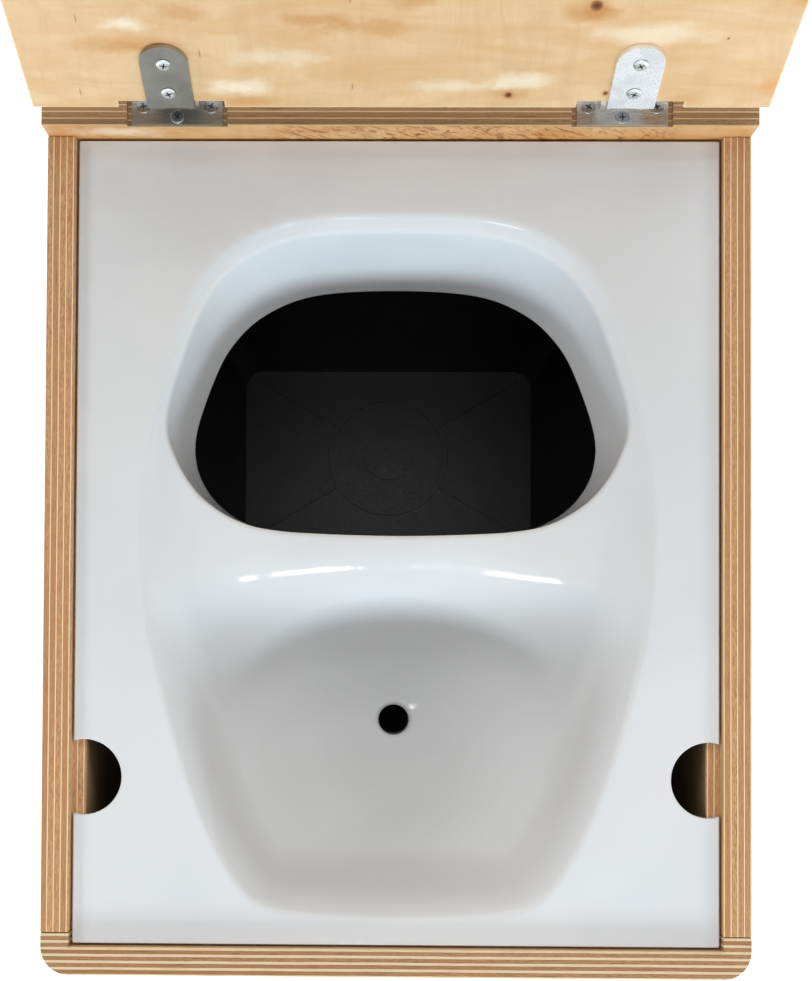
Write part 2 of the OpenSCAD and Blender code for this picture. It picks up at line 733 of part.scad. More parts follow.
// Bail folded back round the bucket's rim, in the plane of its pivots
module bucket_bail() {
    run = bail_arm - bail_bend;
    color(steel) translate([0, bucket_y, ear_z]) {
        for (s = [-1, 1]) {
            translate([s * bail_half, 0, 0]) rotate([-90, 0, 0]) cylinder(r = bail_r, h = run);
            translate([s * bail_half, 0, 0]) sphere(bail_r);
            translate([s * (bail_half - ear_out / 2 - 1), 0, 0]) rotate([0, 90, 0])
                cylinder(r = bail_r, h = ear_out + 2, center = true);
            translate([s * (bail_half - bail_bend), run, 0]) mirror([s > 0 ? 0 : 1, 0, 0])
                rotate_extrude(angle = 90) translate([bail_bend, 0]) circle(bail_r);
        }
        translate([0, bail_arm, 0]) rotate([0, 90, 0])
            cylinder(r = bail_r, h = 2 * (bail_half - bail_bend), center = true);
    }
}

module bail_grip() {
    color(black) translate([0, bucket_y + bail_arm, ear_z]) rotate([0, 90, 0]) difference() {
        union() {
            cylinder(r = grip_r, h = grip_l - 2 * 2, center = true);
            cylinder(r = grip_r - 1, h = grip_l, center = true);
        }
        cylinder(r = bail_r, h = grip_l + 2 * over, center = true);
    }
}

// ---- Urine canister
module canister_block(inset) {
    r = canister_r - inset;
    hull() for (x = [-1, 1]) for (y = [-1, 1])
        translate([x * (canister_w / 2 - canister_r), canister_y + y * (canister_d / 2 - canister_r), 0]) {
            translate([0, 0, inside_z + inset]) cylinder(r = r - foot_bevel, h = 1, $fn = 32);
            translate([0, 0, inside_z + inset + foot_bevel])
                cylinder(r = r, h = canister_h - shoulder_h - foot_bevel - inset, $fn = 32);
            translate([0, 0, canister_top - inset - 1])
                cylinder(r = max(r - shoulder_in, 1), h = 1, $fn = 32);
        }
}

module urine_canister() {
    color([0.9, 0.9, 0.86]) difference() {
        union() {
            difference() {
                canister_block(0);
                canister_block(canister_wall);
            }
            translate([0, drain_y, canister_top - canister_wall])
                cylinder(r = neck_r + neck_wall, h = neck_h + canister_wall);
            for (k = [0, 1]) translate([0, drain_y, neck_top - 6 - k * 6])
                cylinder(r = neck_r + neck_wall + 1.5, h = 2);
            // carrying handle behind the neck
            translate([-handle_w / 2, handle_y, canister_top + handle_h - handle_t])
                cube([handle_w, 2 * handle_t, handle_t]);
            for (s = [-1, 1])
                translate([s * (handle_w / 2 - handle_t / 2) - handle_t / 2, handle_y, canister_top - 1])
                    cube([handle_t, 2 * handle_t, handle_h + 1 - handle_t / 2]);
        }
        translate([0, drain_y, canister_top - canister_wall - over])
            cylinder(r = neck_r, h = neck_h + canister_wall + 2 * over);
    }
}

front_board();
rear_board();
side_board(-1);  // left_board
side_board(1);  // right_board
base_board();
color(wood) dowels_at(front_in, 1);  // front_dowels
color(wood) dowels_at(rear_in, -1);  // rear_dowels
base_screws();
foot(-1, -1);  // foot_front_left
foot(1, -1);  // foot_front_right
foot(-1, 1);  // foot_rear_left
foot(1, 1);  // foot_rear_right
foot_screws();
lid_board();
hinge_leaf(-1);  // left_hinge_leaf
hinge_pin(-1);  // left_hinge_pin
leaf_screws(-1);  // left_leaf_screws
hinge_strap(-1);  // left_hinge_strap
strap_screws(-1);  // left_strap_screws
hinge_leaf(1);  // right_hinge_leaf
hinge_pin(1);  // right_hinge_pin
leaf_screws(1);  // right_leaf_screws
hinge_strap(1);  // right_hinge_strap
strap_screws(1);  // right_strap_screws
insert_plate();
insert_basin();
insert_ridge();
insert_chute();
drain_spout();
bucket();
bucket_bail();
bail_grip();
urine_canister();
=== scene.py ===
"""Looks of the composting toilet: plywood box and lid, moulded insert, hinges, bucket and canister."""

import json
import math

import bmesh
import bpy
import numpy as np
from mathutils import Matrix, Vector
from mathutils.bvhtree import BVHTree


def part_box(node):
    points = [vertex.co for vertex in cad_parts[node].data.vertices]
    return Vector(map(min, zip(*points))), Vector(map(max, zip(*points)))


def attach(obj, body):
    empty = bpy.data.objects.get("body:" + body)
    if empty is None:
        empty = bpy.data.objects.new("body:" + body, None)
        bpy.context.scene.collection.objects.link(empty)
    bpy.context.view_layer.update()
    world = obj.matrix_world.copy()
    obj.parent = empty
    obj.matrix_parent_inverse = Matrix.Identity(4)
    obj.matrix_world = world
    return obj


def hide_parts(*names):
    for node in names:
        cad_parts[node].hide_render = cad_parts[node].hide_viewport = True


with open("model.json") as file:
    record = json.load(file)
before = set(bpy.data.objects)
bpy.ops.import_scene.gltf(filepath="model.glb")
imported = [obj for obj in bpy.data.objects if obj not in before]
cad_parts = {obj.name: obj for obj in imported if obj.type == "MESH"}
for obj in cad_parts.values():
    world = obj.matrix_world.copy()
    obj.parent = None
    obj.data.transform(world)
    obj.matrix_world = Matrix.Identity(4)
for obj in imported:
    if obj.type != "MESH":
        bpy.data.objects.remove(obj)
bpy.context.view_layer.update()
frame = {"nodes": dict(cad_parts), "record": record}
NODES = frame["nodes"]
BODY_OF = {n: b for b, names in frame["record"]["behaviour"]["bodies"].items() for n in names}
MM = 0.001

# ---- Camera: straight down through a slightly tilted lens, for an 812 x 981 frame
FOCAL_PX, FRAME_H_PX, SENSOR_MM = 1488.0, 981.0, 36.0
CAMERA_PLACE = (-0.0118, -0.0489, 0.9518)
CAMERA_TILT_DEG = (1.22, 0.70, 0.31)
cam_data = bpy.data.cameras.new("camera")
cam_data.sensor_width = SENSOR_MM
cam_data.lens = FOCAL_PX * SENSOR_MM / FRAME_H_PX
cam_data.shift_x, cam_data.shift_y = 0.0568, 0.1289
cam_data.clip_start = 0.01
camera = bpy.data.objects.new("camera", cam_data)
camera.location = CAMERA_PLACE
camera.rotation_euler = [math.radians(a) for a in CAMERA_TILT_DEG]
bpy.context.scene.collection.objects.link(camera)
bpy.context.scene.camera = camera
bpy.context.scene.view_settings.view_transform = "Standard"

# ---- Directions, in the part's own frame
X, Y, Z = (1, 0, 0), (0, 1, 0), (0, 0, 1)
OPEN = math.radians(110)
LID_UP = (0, -math.cos(OPEN), math.sin(OPEN))  # along the open lid, away from its hinges
LID_OUT = (0, math.sin(OPEN), math.cos(OPEN))  # through the open lid, towards its outer face
PIN = Vector((0, 0.1797, 0.3355))


# ---- Node materials
def lin(r, g, b):
    """A colour given as 0 to 255 sRGB values, as linear values with alpha."""
    out = []
    for c in (r, g, b):
        c /= 255.0
        out.append(c / 12.92 if c <= 0.04045 else ((c + 0.055) / 1.055) ** 2.4)
    return (*out, 1.0)


class Shader:
    """A Principled material and short calls for the nodes that feed it."""

    def __init__(self, name, **sockets):
        self.mat = bpy.data.materials.new(name)
        self.mat.use_nodes = True
        self.tree = self.mat.node_tree
        self.tree.nodes.clear()
        self.out = self.new("ShaderNodeOutputMaterial")
        self.bsdf = self.new("ShaderNodeBsdfPrincipled")
        self.tree.links.new(self.bsdf.outputs[0], self.out.inputs[0])
        for key, value in sockets.items():
            self.bsdf.inputs[key.replace("_", " ")].default_value = value
        self.coord = self.new("ShaderNodeTexCoord").outputs["Object"]

    def new(self, kind, **props):
        n = self.tree.nodes.new(kind)
        for k, v in props.items():
            setattr(n, k, v)
        return n

    def feed(self, socket, value):
        if hasattr(value, "is_output"):
            self.tree.links.new(value, socket)
        else:
            socket.default_value = value

    def math(self, op, a, b=0.0, c=0.0):
        n = self.new("ShaderNodeMath", operation=op)
        for socket, value in zip(n.inputs, (a, b, c)):
            self.feed(socket, value)
        return n.outputs[0]

    def times(self, a, b):
        return self.math("MULTIPLY", a, b)

    def plus(self, a, b):
        return self.math("ADD", a, b)

    def length(self, x, y):
        """Length of the vector (x, y)."""
        return self.math("SQRT", self.plus(self.times(x, x), self.times(y, y)))

    def along(self, direction, origin=0.0):
        """Distance in millimetres along a direction of the object's own space."""
        n = self.new("ShaderNodeVectorMath", operation="DOT_PRODUCT")
        self.feed(n.inputs[0], self.coord)
        n.inputs[1].default_value = [c / MM for c in direction]
        return self.math("SUBTRACT", n.outputs["Value"], origin)

    def vec(self, x, y, z):
        n = self.new("ShaderNodeCombineXYZ")
        for socket, value in zip(n.inputs, (x, y, z)):
            self.feed(socket, value)
        return n.outputs[0]

    def place(self):
        """The place on the object, in millimetres."""
        return self.vec(self.along(X), self.along(Y), self.along(Z))

    def noise(self, vector, per_mm, detail, rough=0.5, distortion=0.0):
        """Noise with per_mm features to a millimetre: one number, or one for each direction."""
        stretched = self.new("ShaderNodeVectorMath", operation="MULTIPLY")
        self.feed(stretched.inputs[0], vector)
        stretched.inputs[1].default_value = [per_mm] * 3 if isinstance(per_mm, (int, float)) else per_mm
        n = self.new("ShaderNodeTexNoise")
        self.feed(n.inputs["Vector"], stretched.outputs[0])
        settings = {"Scale": 1.0, "Detail": detail, "Roughness": rough, "Distortion": distortion}
        for key, v in settings.items():
            n.inputs[key].default_value = v
        return n.outputs[0]

    def step(self, value, low, high, out_low=0.0, out_high=1.0):
        """Runs smoothly from out_low to out_high while the value runs from low to high."""
        n = self.new("ShaderNodeMapRange", interpolation_type="SMOOTHSTEP")
        self.feed(n.inputs["Value"], value)
        for key, v in (("From Min", low), ("From Max", high), ("To Min", out_low), ("To Max", out_high)):
            n.inputs[key].default_value = v
        return n.outputs["Result"]

    def mix(self, factor, a, b):
        n = self.new("ShaderNodeMix", data_type="RGBA")
        colour_a, colour_b, mixed = n.inputs[6], n.inputs[7], n.outputs[2]  # of the sockets named A, B, Result
        self.feed(n.inputs["Factor"], factor)
        self.feed(colour_a, a)
        self.feed(colour_b, b)
        return mixed

    def tint(self, colour, mask, strength, over):
        """The colour with a share of another one over it, where the mask is 1."""
        return self.mix(self.times(mask, strength), colour, over)

    def bump(self, height, distance, strength):
        n = self.new("ShaderNodeBump")
        n.inputs["Strength"].default_value = strength
        n.inputs["Distance"].default_value = distance
        self.feed(n.inputs["Height"], height)
        return n.outputs[0]

    def set(self, **links):
        for key, value in links.items():
            self.feed(self.bsdf.inputs[key.replace("_", " ")], value)
        return self.mat


BURR_FACE_Y, BURR_Z = 173, (290, 312)  # the rear board's inner face, and the heights between which it comes in


def veneer(name, grain, cross, through, tone, calm, origin=(0, 0, 0), spots=(), knots=(), dashes=(), burr=None):
    """Rotary-cut birch face: cloudy figure across the grain, fine pores along it, stains, painted sheen and
    small knots.

    grain, cross and through are the board's own directions. Places of spots, dashes and knots are
    (cross, grain) in mm. tone is added to the sRGB colours, calm is the share of one even colour, and
    burr is where a burr starts and ends along cross.
    """
    m = Shader(name, Coat_Weight=0.12, Coat_Roughness=0.35)
    o = Vector(origin) / MM
    g, c, t = (m.along(d, o.dot(Vector(d))) for d in (grain, cross, through))
    place = m.vec(c, g, t)
    sway = m.noise(place, 0.03, 2)
    swayed = m.vec(m.math("MULTIPLY_ADD", sway, 16.0, c), g, t)
    cloud = m.noise(place, (0.018, 0.062, 0.02), 4, 0.55, 0.9)
    ripple = m.noise(swayed, (0.034, 0.075, 0.04), 3, 0.5, 1.1)
    rings = m.noise(swayed, (0.11, 0.012, 0.02), 4, 0.6, 0.4)
    pores = m.noise(place, (1.6, 0.055, 0.4), 3, 0.6)
    fray = m.noise(place, (0.09, 0.12, 0.1), 3, 0.6)
    fine_fray = m.noise(place, 0.5, 3, 0.6)

    def shade(*rgb):
        return lin(*(min(255, max(0, v + d)) for v, d in zip(rgb, tone)))

    def spread(x, y, rx, ry, rag, fine=0.0):
        """0 at a spot's middle and 1 at its edge, with an uneven outline."""
        dx, dy = (m.math("DIVIDE", m.math("SUBTRACT", v, at), r) for v, at, r in ((c, x, rx), (g, y, ry)))
        d = m.length(dx, dy)
        for noise, share in ((fray, rag * 2), (fine_fray, fine)):
            if share:
                d = m.plus(d, m.times(m.math("SUBTRACT", noise, 0.5), share))
        return d

    colour = m.mix(m.step(cloud, 0.33, 0.68), shade(243, 219, 176), shade(223, 183, 128))
    colour = m.tint(colour, m.step(ripple, 0.45, 0.78), 0.42, shade(216, 166, 108))
    # painted sheen: paler streaks where the ripple is low
    colour = m.tint(colour, m.step(ripple, 0.5, 0.22), 0.26, shade(250, 229, 192))
    colour = m.tint(colour, m.step(rings, 0.48, 0.66), 0.32, shade(205, 163, 108))
    colour = m.tint(colour, m.step(pores, 0.56, 0.74), 0.22, shade(186, 141, 88))
    colour = m.mix(calm, colour, shade(239, 209, 164))
    for x, y, rx, ry, strength, rgb in spots:
        colour = m.tint(colour, m.step(spread(x, y, rx, ry, 0.9), 1.15, 0.1), strength, lin(*rgb))
    for x, y, r in dashes:
        colour = m.tint(colour, m.step(spread(x, y, 0.45, r, 0.1, 0.5), 1.1, 0.4), 0.5, shade(140, 98, 56))
    relief = m.math("MULTIPLY_ADD", pores, -0.6, m.times(rings, 0.4))
    for x, y, r in knots:
        d = spread(x, y, r, r * 1.1, 0.12, 0.7)
        core = m.step(d, 0.8, 0.3)
        colour = m.tint(colour, m.step(m.times(d, 0.3), 1.0, 0.2), 0.5, shade(201, 143, 80))
        colour = m.tint(colour, m.step(d, 1.5, 0.8), 0.85, shade(136, 84, 42))
        colour = m.tint(colour, core, 0.75, shade(72, 44, 26))
        relief = m.math("SUBTRACT", relief, m.times(core, 2.0))
    if burr:
        # short brown flames that lean across the grain, and finer dark ticks between them
        left, right = burr
        lean = m.vec(m.math("MULTIPLY_ADD", g, 0.9, c), g, t)
        across = m.times(m.step(c, left, left + 20), m.step(c, right, right - 15))
        on_face = m.times(m.step(t, BURR_FACE_Y + 1, BURR_FACE_Y - 1), m.step(g, *BURR_Z))
        zone = m.times(across, on_face)
        flame = m.noise(lean, (0.13, 0.085, 0.1), 4, 0.65, 2.2)
        tick = m.noise(lean, (0.6, 0.25, 0.3), 2, 0.5, 1.2)
        colour = m.tint(colour, m.times(m.step(flame, 0.5, 0.6), zone), 0.72, shade(164, 110, 62))
        colour = m.tint(colour, m.times(m.step(tick, 0.63, 0.7), zone), 0.8, shade(112, 70, 40))
    rough = m.step(m.plus(cloud, m.times(pores, 0.4)), 0.4, 1.0, 0.42, 0.58)
    return m.set(Base_Color=colour, Roughness=rough, Normal=m.bump(relief, 0.00012, 0.5))


PLY = 1.4  # thickness of one ply, in mm
PLY_TONES = ((176, 126, 82), (211, 163, 116), (240, 210, 166), (142, 96, 58))


def ply_edge(name, through, along, start, light, tones=PLY_TONES):
    """Sanded plywood edge: pale long-grain plies between darker end-grain ones, counted through the board.

    light is the pale plies' share, and tones are the dark, brown, pale and glue-line colours.
    """
    m = Shader(name, Coat_Weight=0.08, Coat_Roughness=0.4)
    dark, brown, pale, glue = (lin(*rgb) for rgb in tones)
    t = m.along(through, start)
    a = m.along(along)
    place = m.vec(a, t, m.along(tuple(Vector(through).cross(Vector(along)))))
    drift = m.noise(place, (0.012, 0.05, 0.05), 2)
    turn = m.math("DIVIDE", m.math("MULTIPLY_ADD", m.math("SUBTRACT", drift, 0.5), 0.5, t), 2 * PLY)
    phase = m.math("FRACT", turn)
    each = m.noise(m.vec(m.math("FLOOR", turn), a, 0.0), (7.31, 0.003, 1.0), 1)
    fleck = m.noise(place, (0.5, 2.6, 0.8), 3, 0.65)
    long_fleck = m.noise(place, (0.07, 2.2, 0.5), 3, 0.6)
    end = m.mix(m.step(fleck, 0.36, 0.64), dark, brown)
    end = m.tint(end, m.step(each, 0.4, 0.62), 0.75, dark)
    end = m.tint(end, m.step(long_fleck, 0.55, 0.67), 0.62, glue)
    face = m.tint(pale, m.step(long_fleck, 0.5, 0.72), 0.6, brown)
    inside = m.times(m.step(phase, 0.0, 0.05), m.step(phase, light + 0.05, light))
    colour = m.mix(inside, end, face)

    # glue lines on both sides of each pale ply, with small voids along them
    between = m.times(m.step(phase, light, light + 0.03), m.step(phase, light + 0.09, light + 0.05))
    around = m.math("MAXIMUM", m.step(phase, 0.965, 1.0), between)
    line = m.math("MAXIMUM", m.step(phase, 0.035, 0.0), around)
    void = m.times(m.step(m.noise(place, (0.09, 0.9, 0.9), 2), 0.73, 0.76), line)
    colour = m.mix(void, m.tint(colour, line, 0.6, glue), lin(74, 48, 30))
    relief = m.math("SUBTRACT", m.times(fleck, 0.6), m.times(line, 0.8))
    rough = m.step(inside, 0, 1, 0.66, 0.5)
    return m.set(Base_Color=colour, Normal=m.bump(relief, 0.00015, 0.6), Roughness=rough)


# the palest spot colour is painted sheen: patches of light laid into the veneer
STAIN, PAINTED_SHEEN, WARM = (200, 134, 68), (252, 236, 212), (226, 176, 116)
lid_face = veneer("lid_veneer", LID_UP, X, LID_OUT, (-10, -20, -22), 0.5, origin=PIN, spots=[
    (-108, 47, 22, 5, 0.55, STAIN), (-98, 45, 10, 3.4, 0.45, STAIN), (-82, 63, 13, 6, 0.5, STAIN),
    (-30, 60, 20, 4, 0.6, STAIN), (-12, 56, 26, 5, 0.5, STAIN), (2, 70, 12, 5, 0.6, STAIN),
    (-62, 15, 17, 4, 0.5, STAIN), (74, 62, 9, 5, 0.5, STAIN), (151, 26, 9, 7, 0.75, (222, 150, 74)),
    (151, 72, 12, 6, 0.6, STAIN), (114, 16, 12, 4, 0.4, STAIN), (44, 20, 14, 4, 0.35, STAIN),
    (-106, 58, 12, 5, 0.7, PAINTED_SHEEN), (-64, 23, 14, 5, 0.7, PAINTED_SHEEN), (48, 27, 17, 6, 0.6, PAINTED_SHEEN),
    (70, 63, 12, 6, 0.6, STAIN), (20, 24, 20, 4, 0.45, PAINTED_SHEEN), (95, 52, 26, 8, 0.45, PAINTED_SHEEN),
    (-50, 40, 26, 6, 0.35, PAINTED_SHEEN), (-60, 150, 60, 12, 0.4, WARM), (40, 120, 50, 10, 0.4, STAIN),
    (90, 210, 40, 9, 0.4, STAIN), (-80, 260, 60, 10, 0.45, STAIN), (30, 320, 70, 9, 0.4, STAIN),
    (0, 180, 80, 12, 0.4, PAINTED_SHEEN)],
    knots=[(71.7, 67.2, 2.0), (43.2, 19, 1.2), (82, 20, 0.8), (124.3, 50.3, 0.35), (-45, 188, 1.8),
        (88, 284, 1.5), (-104, 330, 1.0)],
    dashes=[(-123.6, 60.5, 2.6), (-19.9, 70, 2.4), (-78.6, 42, 2.8), (-19.4, 23.6, 2.2),
        (-128.8, 20.6, 2.4), (10, 140, 3), (60, 230, 3), (-90, 215, 3)])
board_x = veneer("face_veneer_x", Z, Y, X, (-40, -44, -38), 0.45, spots=[
    (-90, 210, 40, 9, 0.4, STAIN), (60, 90, 50, 10, 0.4, STAIN), (10, 270, 60, 9, 0.4, PAINTED_SHEEN)],
    knots=[(-70, 150, 1.6), (95, 245, 1.2)])
board_y = veneer("face_veneer_y", Z, X, Y, (-44, -50, -48), 0.45, spots=[
    (-60, 190, 50, 9, 0.4, STAIN), (70, 110, 50, 10, 0.4, STAIN), (0, 60, 60, 9, 0.4, PAINTED_SHEEN)],
    knots=[(-88, 120, 1.5), (64, 240, 1.8)])
rear_face = veneer("rear_veneer", Z, X, Y, (-22, -44, -54), 0.25, burr=(-62, 122), spots=[
    (-120, 327, 30, 7, 0.45, PAINTED_SHEEN), (-40, 328, 34, 6, 0.4, STAIN), (60, 326, 60, 7, 0.4, STAIN)],
    knots=[(8, 324, 0.9), (-88, 120, 1.5), (64, 240, 1.8)])
base_face = veneer("base_veneer", X, Y, Z, (-6, -8, -12), 0.4, knots=[(40, 60, 1.5)])

side_edge_l = ply_edge("ply_edge_left", X, Y, -150.4, light=0.2)
side_edge_r = ply_edge("ply_edge_right", X, Y, 149.2, light=0.2)
front_edge = ply_edge("ply_edge_front", Y, X, -187.9, light=0.42,
    tones=((154, 110, 71), (178, 135, 94), (222, 196, 158), (108, 70, 42)))
rear_edge = ply_edge("ply_edge_rear", Y, X, 169.3, light=0.25,
    tones=((146, 111, 76), (170, 134, 95), (205, 170, 122), (104, 74, 46)))
lid_edge = ply_edge("ply_edge_lid", LID_OUT, X, PIN.dot(Vector(LID_OUT)) / MM - 13.4, light=0.34)
base_edge = ply_edge("ply_edge_base", Z, X, -0.3, light=0.34)


# ---- Plastics, metals, rubber
BASIN_SHADE_Z, BASIN_SHADE_Y = (316, 292), (-14, -44)  # the painted shade in the basin comes in between these places (mm)


def gloss_white():
    """Moulded plastic: glossy, with the faintest ripple, cloudy wear and grey painted shade low in the basin.
    """
    m = Shader("white_plastic", IOR=1.47)
    place = m.place()
    cloud = m.noise(place, (0.012, 0.012, 0.03), 3)
    scuff = m.noise(place, (0.35, 0.08, 0.2), 4, 0.7, 0.8)
    ripple = m.noise(place, 0.05, 2)
    grain = m.noise(place, 2.5, 2)
    # painted shade: the plastic is greyer low in the basin, in front of the crest
    basin_shade = m.times(m.step(m.along(Z), *BASIN_SHADE_Z), m.step(m.along(Y), *BASIN_SHADE_Y))
    colour = m.mix(m.step(cloud, 0.35, 0.65), lin(213, 214, 216), lin(218, 219, 220))
    colour = m.tint(colour, basin_shade, m.step(cloud, 0.3, 0.7, 0.6, 0.85), lin(192, 192, 192))
    rough = m.plus(m.step(cloud, 0.3, 0.7, 0.06, 0.11), m.step(scuff, 0.66, 0.8, 0.0, 0.12))
    relief = m.math("MULTIPLY_ADD", grain, 0.03, ripple)
    return m.set(Base_Color=colour, Roughness=rough, Normal=m.bump(relief, 0.0007, 0.35))


def steel(name, brush, rgb, rough, depth=0.00004, metallic=1.0):
    """Brushed or turned sheet, with a few handling marks. brush has a 1 for each direction the lines run in."""
    m = Shader(name, Metallic=metallic, Anisotropic=0.4)
    place = m.place()
    lines = m.noise(place, [0.06 if d else 3.2 for d in brush], 4, 0.7)
    smear = m.noise(place, 0.12, 3, 0.6)
    handled = (rgb[0] * 0.82, rgb[1] * 0.82, rgb[2] * 0.83, 1)
    colour = m.mix(m.step(smear, 0.35, 0.7), (*rgb, 1), handled)
    r = m.plus(m.step(lines, 0.3, 0.7, rough - 0.06, rough + 0.08), m.step(smear, 0.5, 0.8, 0.0, 0.1))
    return m.set(Base_Color=colour, Roughness=r, Normal=m.bump(lines, depth, 0.4))


def zinc(name, tone=1.0):
    """Plating with a cloudy tone and a fine grain."""
    m = Shader(name, Metallic=1.0)
    place = m.place()
    cloud = m.noise(place, 0.7, 3, 0.6)
    fine = m.noise(place, 5, 2)
    low, high = ((*(c * tone for c in rgb), 1) for rgb in ((0.82, 0.87, 0.89), (0.90, 0.92, 0.91)))
    colour = m.mix(m.step(cloud, 0.4, 0.65), low, high)
    rough = m.step(fine, 0.3, 0.7, 0.2, 0.36)
    return m.set(Base_Color=colour, Roughness=rough, Normal=m.bump(fine, 0.00003, 0.4))


def moulded(name, dark, light, rough, grain=1.4, depth=0.00006, **sockets):
    """Matt or satin moulding: eroded skin, slight mottling and dust in the texture."""
    m = Shader(name, **sockets)
    place = m.place()
    skin = m.noise(place, grain, 3, 0.6)
    cloud = m.noise(place, 0.05, 3, 0.6)
    scuff = m.noise(place, (0.5, 0.04, 0.15), 4, 0.7, 0.5)
    dust = lin(*(min(255, c + 36) for c in light))
    colour = m.mix(m.step(cloud, 0.35, 0.65), lin(*dark), lin(*light))
    colour = m.tint(colour, m.step(scuff, 0.68, 0.8), 0.25, dust)
    r = m.plus(m.step(skin, 0.3, 0.7, rough - 0.06, rough + 0.08), m.step(scuff, 0.66, 0.8, 0.0, 0.12))
    return m.set(Base_Color=colour, Roughness=r, Normal=m.bump(skin, depth, 0.5))


def turned_wood():
    """Beech for the dowels, with short dark flecks."""
    m = Shader("beech", Roughness=0.55)
    place = m.place()
    grain = m.noise(place, (1.1, 0.09, 1.1), 3, 0.6)
    fleck = m.noise(place, (3.0, 1.2, 3.0), 2, 0.6)
    colour = m.mix(m.step(grain, 0.35, 0.65), lin(203, 160, 112), lin(180, 134, 88))
    colour = m.tint(colour, m.step(fleck, 0.6, 0.72), 0.5, lin(128, 86, 52))
    return m.set(Base_Color=colour, Normal=m.bump(grain, 0.0001, 0.5))


white_plastic = gloss_white()
# both hinges are one steel, painted lighter or darker by how it is lit: the left leaf and strap darker as
# shade, the right leaf paler, the right strap near white as a painted reflection
leaf_painted_shade = steel("hinge_steel_left_painted_shade", X, (0.40, 0.39, 0.36), 0.32)
leaf_painted_light = steel("hinge_steel_right_painted_light", X, (0.62, 0.61, 0.58), 0.26)
strap_painted_shade = steel("strap_steel_left_painted_shade", Z, (0.42, 0.42, 0.39), 0.34)
strap_painted_glare = steel("strap_steel_right_painted_glare", Z, (0.97, 0.97, 0.97), 0.3, 0.000006, metallic=0.55)
# near black steel: painted shade for the screws' recesses and round their heads' rims
recess = steel("screw_painted_shade", Z, (0.10, 0.13, 0.15), 0.4)
pin_steel = steel("pin_steel", X, (0.55, 0.55, 0.56), 0.28)
# the second plating is the first at 42 % of its tone: painted shade for the leaf screws
zinc_plate, zinc_shade_paint = zinc("zinc_plate"), zinc("zinc_painted_shade", 0.42)
bail_zinc = steel("bail_wire", (1, 1, 0), (0.58, 0.58, 0.58), 0.3)
bucket_black = moulded("bucket_black", (8, 8, 9), (13, 13, 14), 0.42)
grip_black = moulded("grip_black", (22, 22, 23), (30, 30, 31), 0.5, 2.2, 0.0001)
rubber = moulded("foot_rubber", (24, 24, 25), (34, 34, 34), 0.82, 1.8, 0.00012)
canister_skin = moulded("canister_plastic", (196, 195, 184), (208, 207, 197), 0.42, 1.2, 0.0001,
    Transmission_Weight=0.25, IOR=1.5, Subsurface_Weight=0.2)
beech = turned_wood()


# ---- Pieces copied from the CAD with eased edges
BROAD = 0.97  # cosine of the most that a board's broad face leans
WELD_M, COPLANAR_DEG = 2e-6, 0.4


def tidy_mesh(node):
    """A bmesh of the CAD node, welded and without edges inside its flat faces."""
    bm = bmesh.new()
    bm.from_mesh(NODES[node].data)
    for layer in list(bm.loops.layers.float_vector.values()):
        bm.loops.layers.float_vector.remove(layer)
    bmesh.ops.remove_doubles(bm, verts=bm.verts, dist=WELD_M)
    bmesh.ops.dissolve_limit(bm, angle_limit=math.radians(COPLANAR_DEG), verts=bm.verts, edges=bm.edges)
    bm.normal_update()
    return bm


def as_piece(bm, name, nodes, mats, pick=None, sharp=34):
    """Turns a bmesh into a piece that stands for one or more CAD nodes of a body.

    pick gives a face's material, and edges that bend by more than sharp degrees stay sharp.
    """
    for e in bm.edges:
        if len(e.link_faces) == 2:
            e.smooth = e.calc_face_angle(0) < math.radians(sharp)
    for f in bm.faces:
        f.smooth = True
        f.material_index = pick(f) if pick else 0
    me = bpy.data.meshes.new(name)
    bm.to_mesh(me)
    bm.free()
    if "custom_normal" in me.attributes:
        me.attributes.remove(me.attributes["custom_normal"])
    for mat in mats:
        me.materials.append(mat)
    obj = bpy.data.objects.new(name, me)
    bpy.context.scene.collection.objects.link(obj)
    mod = obj.modifiers.new("normals", "WEIGHTED_NORMAL")
    mod.keep_sharp = True
    mod.weight = 80
    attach(obj, BODY_OF[nodes[0]])
    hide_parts(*nodes)
    return obj


def eased(node, mats, pick=None, width=0.7, shortest=1.0, sharp=34, angle=50):
    """A copy of a CAD node whose long outer edges are rounded over, as sanding or pressing leaves them.

    width and shortest are in mm; only edges that bend by more than angle degrees are rounded.
    """
    bm = tidy_mesh(node)
    edges = [e for e in bm.edges if len(e.link_faces) == 2 and e.is_convex
        and e.calc_face_angle(0) > math.radians(angle) and e.calc_length() > shortest * MM]
    if width and edges:
        bmesh.ops.bevel(bm, geom=edges, offset=width * MM, offset_type="OFFSET", segments=2, profile=0.5,
            affect="EDGES", clamp_overlap=True)
        bm.normal_update()
    return as_piece(bm, node + "_skin", [node], mats, pick, sharp)


def circle(n):
    """n evenly spaced angles."""
    return [2 * math.pi * k / n for k in range(n)]


def band(bm, a, b):
    """Joins two closed rings of vertices by quads."""
    n = len(a)
    return [bm.faces.new((a[k], a[(k + 1) % n], b[(k + 1) % n], b[k])) for k in range(n)]


def islands(bm):
    """The vertices of each separate island, from the rear to the front, and from right to left."""
    groups, met = [], set()
    for first in bm.verts:
        if first in met:
            continue
        met.add(first)
        group = [first]
        for v in group:  # the list grows while it is read
            for e in v.link_edges:
                other = e.other_vert(v)
                if other not in met:
                    met.add(other)
                    group.append(other)
        groups.append(group)
    return sorted(groups, key=lambda group: [-round(min(v.co[k] for v in group) / MM, 1) for k in (1, 0)])


SCREW_ANGLES = circle(48)
CROSS = [0.5 + 1.1 * abs(math.cos(2 * a)) ** 5 for a in SCREW_ANGLES]  # outline of the recess, as a share
RECESS_DEEP = 1.1
SHADE_PAINT_BANDS = (4, 9)  # painted shade round the head's rim, and down the wall of the recess
NEXT_TURN = 37  # degrees from one screw's recess to the next one's


